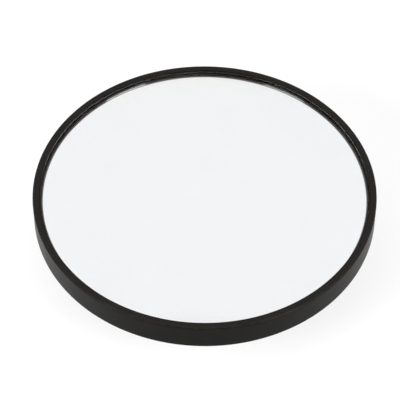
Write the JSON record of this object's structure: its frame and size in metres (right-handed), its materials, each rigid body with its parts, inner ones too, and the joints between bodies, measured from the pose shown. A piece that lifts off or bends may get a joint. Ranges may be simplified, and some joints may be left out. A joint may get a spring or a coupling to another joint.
{
  "type": "convex security mirror",
  "caption": "Round convex safety mirror with a black plastic rim and back pan, on an adjustable ball-joint bracket with a clamp ring and a round screw-on wall plate.",
  "frame": {"origin": "centre of the wall pad's back face, on the mirror's axis", "axes": "+Z out of the wall along the mirror's axis at rest, X and Y in the wall's plane, X along the tilt axis at rest"},
  "size_m": [0.3014, 0.3014, 0.1171],
  "materials": {
    "clear_acrylic": "clear polished sheet",
    "silvering": "vacuum-coated reflective layer",
    "rim_plastic": "satin moulded black",
    "pan_plastic": "fine-textured moulded black",
    "black_rubber": "matt",
    "foam": "closed-cell foam",
    "plated_steel": "zinc plated",
    "polished_steel": "ground and polished",
    "white_nylon": "natural nylon",
    "turned_aluminium": "turned and clear anodised",
    "black_coated_metal": "satin powder coat"
  },
  "bodies": {
    "wall_bracket": {"wall_pad": "black_rubber", "wall_plate": "black_coated_metal", "post_screws": "plated_steel", "bracket_post": "black_coated_metal", "socket_cup": "black_coated_metal"},
    "seat_cup": {"ball_seat": "white_nylon"},
    "ball": {"pivot_ball": "polished_steel"},
    "mirror_head": {"pivot_stud": "plated_steel", "jam_nut": "plated_steel", "lock_washer": "plated_steel", "mounting_plate": "plated_steel", "plate_screws": "plated_steel", "captive_nut": "plated_steel", "back_shell": "pan_plastic", "bezel_screws": "plated_steel", "foam_ring": "foam", "mirror_silvering": "silvering", "mirror_lens": "clear_acrylic", "lens_gasket": "black_rubber", "front_bezel": "rim_plastic"},
    "clamp_ring": {"clamp_collar": "turned_aluminium", "collar_grip": "black_rubber"}
  },
  "joints": [
    {"name": "bracket_pan", "type": "hinge", "parent": "wall_bracket", "child": "seat_cup", "pos_m": [0, 0, 0.053], "axis": [0, 0, 1], "continuous": true},
    {"name": "mirror_tilt", "type": "hinge", "parent": "seat_cup", "child": "ball", "pos_m": [0, 0, 0.053], "axis": [1, 0, 0], "range_deg": [-25, 25]},
    {"name": "mirror_spin", "type": "hinge", "parent": "ball", "child": "mirror_head", "pos_m": [0, 0, 0.053], "axis": [0, 0, 1], "continuous": true},
    {"name": "clamp_turn", "type": "hinge", "parent": "wall_bracket", "child": "clamp_ring", "pos_m": [0, 0, 0.053], "axis": [0, 0, 1], "range_deg": [0, 90]}
  ]
}
